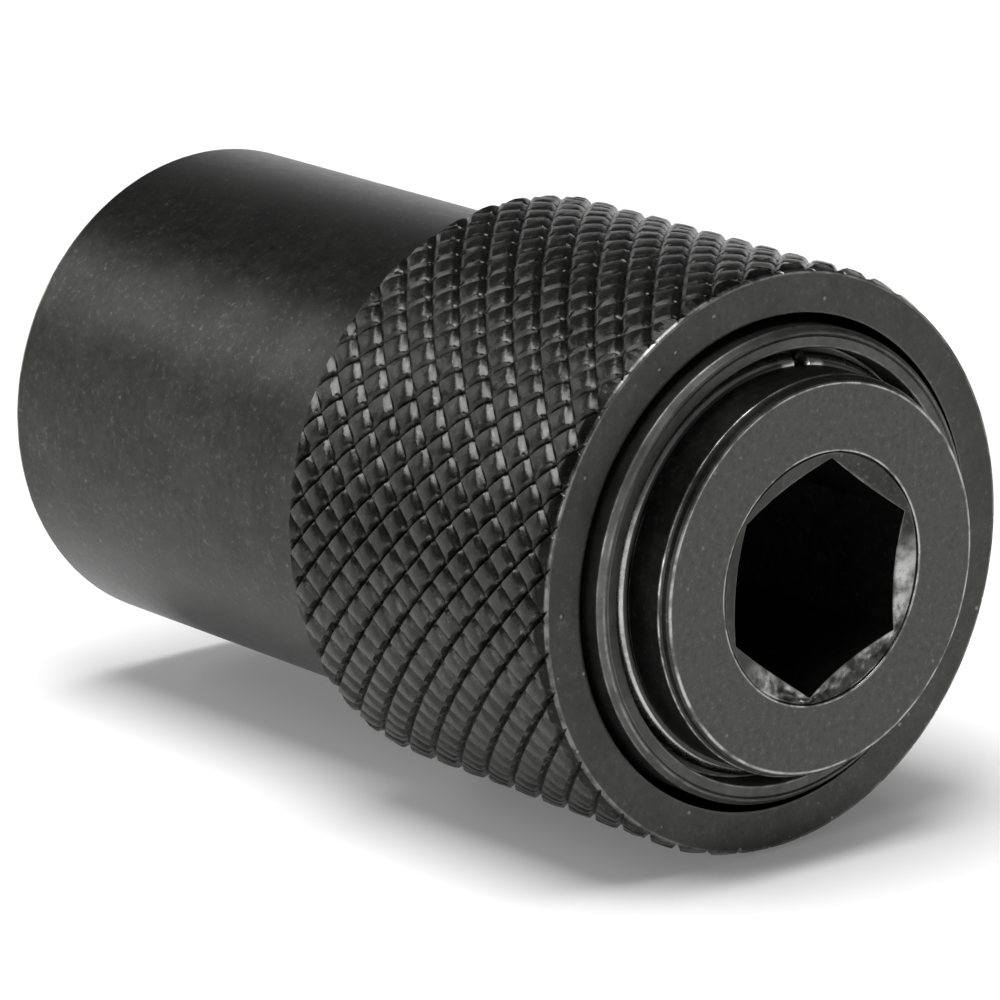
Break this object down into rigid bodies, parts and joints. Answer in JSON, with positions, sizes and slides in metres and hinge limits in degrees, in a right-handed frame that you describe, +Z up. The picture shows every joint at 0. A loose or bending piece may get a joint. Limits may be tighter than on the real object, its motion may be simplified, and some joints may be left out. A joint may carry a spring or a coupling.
{
  "type": "quick-release drill chuck",
  "caption": "Quick-release drill chuck with a hex bit socket, a knurled spring-loaded sleeve, locking balls and a threaded rear.",
  "frame": {"origin": "on the chuck's axis, at the mouth of the spindle thread in the rear face", "axes": "+X along the chuck's axis towards the nose and the hex socket, +Z up, +Y across"},
  "size_m": [0.0309, 0.0184, 0.0184],
  "materials": {
    "body_black_oxide": "satin black oxide",
    "sleeve_black_oxide": "satin black oxide, diamond knurled",
    "spring_wire": "oiled spring wire",
    "washer_steel": "turned, black oxide with worn edges",
    "ring_wire": "drawn bright wire",
    "ball_steel": "polished"
  },
  "bodies": {
    "chuck_body": {"body": "body_black_oxide", "snap_ring": "ring_wire"},
    "spring_stack": {"return_spring": "spring_wire", "retaining_washer": "washer_steel"},
    "sleeve": {"sleeve": "sleeve_black_oxide"},
    "locking_ball_1": {"locking_ball_1": "ball_steel"},
    "locking_ball_2": {"locking_ball_2": "ball_steel"}
  },
  "joints": [
    {"name": "sleeve_spin", "type": "hinge", "parent": "chuck_body", "child": "spring_stack", "pos_m": [0, 0, 0], "axis": [1, 0, 0], "continuous": true},
    {"name": "sleeve_pull", "type": "slide", "parent": "spring_stack", "child": "sleeve", "axis": [1, 0, 0], "range_m": [0, 0.0022], "stiffness_N_per_m": 600, "springref_m": -0.0066, "deforming": ["return_spring"]},
    {"name": "ball_1_travel", "type": "slide", "parent": "chuck_body", "child": "locking_ball_1", "axis": [0, 0.9945, -0.1045], "range_m": [0, 0.0005]},
    {"name": "ball_2_travel", "type": "slide", "parent": "chuck_body", "child": "locking_ball_2", "axis": [0, -0.9945, 0.1045], "range_m": [0, 0.0005]}
  ],
  "couplings": [
    {"joint": "ball_1_travel", "follows": "sleeve_pull", "ratio": 0.22},
    {"joint": "ball_2_travel", "follows": "sleeve_pull", "ratio": 0.22}
  ]
}
